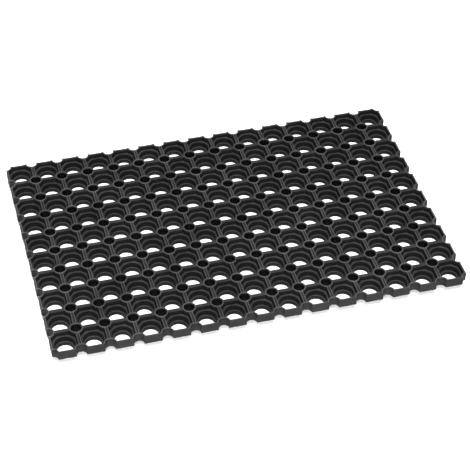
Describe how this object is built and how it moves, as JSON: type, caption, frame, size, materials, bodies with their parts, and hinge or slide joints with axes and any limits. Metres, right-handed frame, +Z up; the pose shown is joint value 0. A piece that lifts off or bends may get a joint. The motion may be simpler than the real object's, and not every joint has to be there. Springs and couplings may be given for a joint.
{
  "type": "hollow rubber door mat",
  "caption": "Rectangular black rubber scraper mat: a lattice of open octagonal cells on round foot cups, with drain holes and twin ridges; it flexes and rolls up.",
  "frame": {"origin": "centre of the rectangle that the mat stands on, at floor level", "axes": "+X along the 600 mm length, +Y along the 400 mm width, +Z up through the tread"},
  "size_m": [0.6, 0.4, 0.022],
  "materials": {
    "rubber": "matt moulded black rubber"
  },
  "bodies": {
    "strip_01_body": {"strip_01": "rubber"},
    "strip_02_body": {"strip_02": "rubber"},
    "strip_03_body": {"strip_03": "rubber"},
    "strip_04_body": {"strip_04": "rubber"},
    "strip_05_body": {"strip_05": "rubber"},
    "strip_06_body": {"strip_06": "rubber"},
    "strip_07_body": {"strip_07": "rubber"},
    "strip_08_body": {"strip_08": "rubber"},
    "strip_09_body": {"strip_09": "rubber"},
    "strip_10_body": {"strip_10": "rubber"},
    "strip_11_body": {"strip_11": "rubber"},
    "strip_12_body": {"strip_12": "rubber"},
    "strip_13_body": {"strip_13": "rubber"},
    "strip_14_body": {"strip_14": "rubber"},
    "strip_15_body": {"strip_15": "rubber"},
    "strip_16_body": {"strip_16": "rubber"}
  },
  "joints": [
    {"name": "flex_01", "type": "hinge", "parent": "strip_02_body", "child": "strip_01_body", "pos_m": [-0.28, 0, 0.0204], "axis": [0, 1, 0], "range_deg": [0, 22], "stiffness_Nm_per_rad": 0.8},
    {"name": "flex_02", "type": "hinge", "parent": "strip_03_body", "child": "strip_02_body", "pos_m": [-0.24, 0, 0.0204], "axis": [0, 1, 0], "range_deg": [0, 22], "stiffness_Nm_per_rad": 0.8},
    {"name": "flex_03", "type": "hinge", "parent": "strip_04_body", "child": "strip_03_body", "pos_m": [-0.2, 0, 0.0204], "axis": [0, 1, 0], "range_deg": [0, 22], "stiffness_Nm_per_rad": 0.8},
    {"name": "flex_04", "type": "hinge", "parent": "strip_05_body", "child": "strip_04_body", "pos_m": [-0.16, 0, 0.0204], "axis": [0, 1, 0], "range_deg": [0, 22], "stiffness_Nm_per_rad": 0.8},
    {"name": "flex_05", "type": "hinge", "parent": "strip_06_body", "child": "strip_05_body", "pos_m": [-0.12, 0, 0.0204], "axis": [0, 1, 0], "range_deg": [0, 22], "stiffness_Nm_per_rad": 0.8},
    {"name": "flex_06", "type": "hinge", "parent": "strip_07_body", "child": "strip_06_body", "pos_m": [-0.08, 0, 0.0204], "axis": [0, 1, 0], "range_deg": [0, 22], "stiffness_Nm_per_rad": 0.8},
    {"name": "flex_07", "type": "hinge", "parent": "strip_08_body", "child": "strip_07_body", "pos_m": [-0.04, 0, 0.0204], "axis": [0, 1, 0], "range_deg": [0, 22], "stiffness_Nm_per_rad": 0.8},
    {"name": "flex_08", "type": "hinge", "parent": "strip_08_body", "child": "strip_09_body", "pos_m": [0, 0, 0.0204], "axis": [0, -1, 0], "range_deg": [0, 22], "stiffness_Nm_per_rad": 0.8},
    {"name": "flex_09", "type": "hinge", "parent": "strip_09_body", "child": "strip_10_body", "pos_m": [0.04, 0, 0.0204], "axis": [0, -1, 0], "range_deg": [0, 22], "stiffness_Nm_per_rad": 0.8},
    {"name": "flex_10", "type": "hinge", "parent": "strip_10_body", "child": "strip_11_body", "pos_m": [0.08, 0, 0.0204], "axis": [0, -1, 0], "range_deg": [0, 22], "stiffness_Nm_per_rad": 0.8},
    {"name": "flex_11", "type": "hinge", "parent": "strip_11_body", "child": "strip_12_body", "pos_m": [0.12, 0, 0.0204], "axis": [0, -1, 0], "range_deg": [0, 22], "stiffness_Nm_per_rad": 0.8},
    {"name": "flex_12", "type": "hinge", "parent": "strip_12_body", "child": "strip_13_body", "pos_m": [0.16, 0, 0.0204], "axis": [0, -1, 0], "range_deg": [0, 22], "stiffness_Nm_per_rad": 0.8},
    {"name": "flex_13", "type": "hinge", "parent": "strip_13_body", "child": "strip_14_body", "pos_m": [0.2, 0, 0.0204], "axis": [0, -1, 0], "range_deg": [0, 22], "stiffness_Nm_per_rad": 0.8},
    {"name": "flex_14", "type": "hinge", "parent": "strip_14_body", "child": "strip_15_body", "pos_m": [0.24, 0, 0.0204], "axis": [0, -1, 0], "range_deg": [0, 22], "stiffness_Nm_per_rad": 0.8},
    {"name": "flex_15", "type": "hinge", "parent": "strip_15_body", "child": "strip_16_body", "pos_m": [0.28, 0, 0.0204], "axis": [0, -1, 0], "range_deg": [0, 22], "stiffness_Nm_per_rad": 0.8}
  ]
}
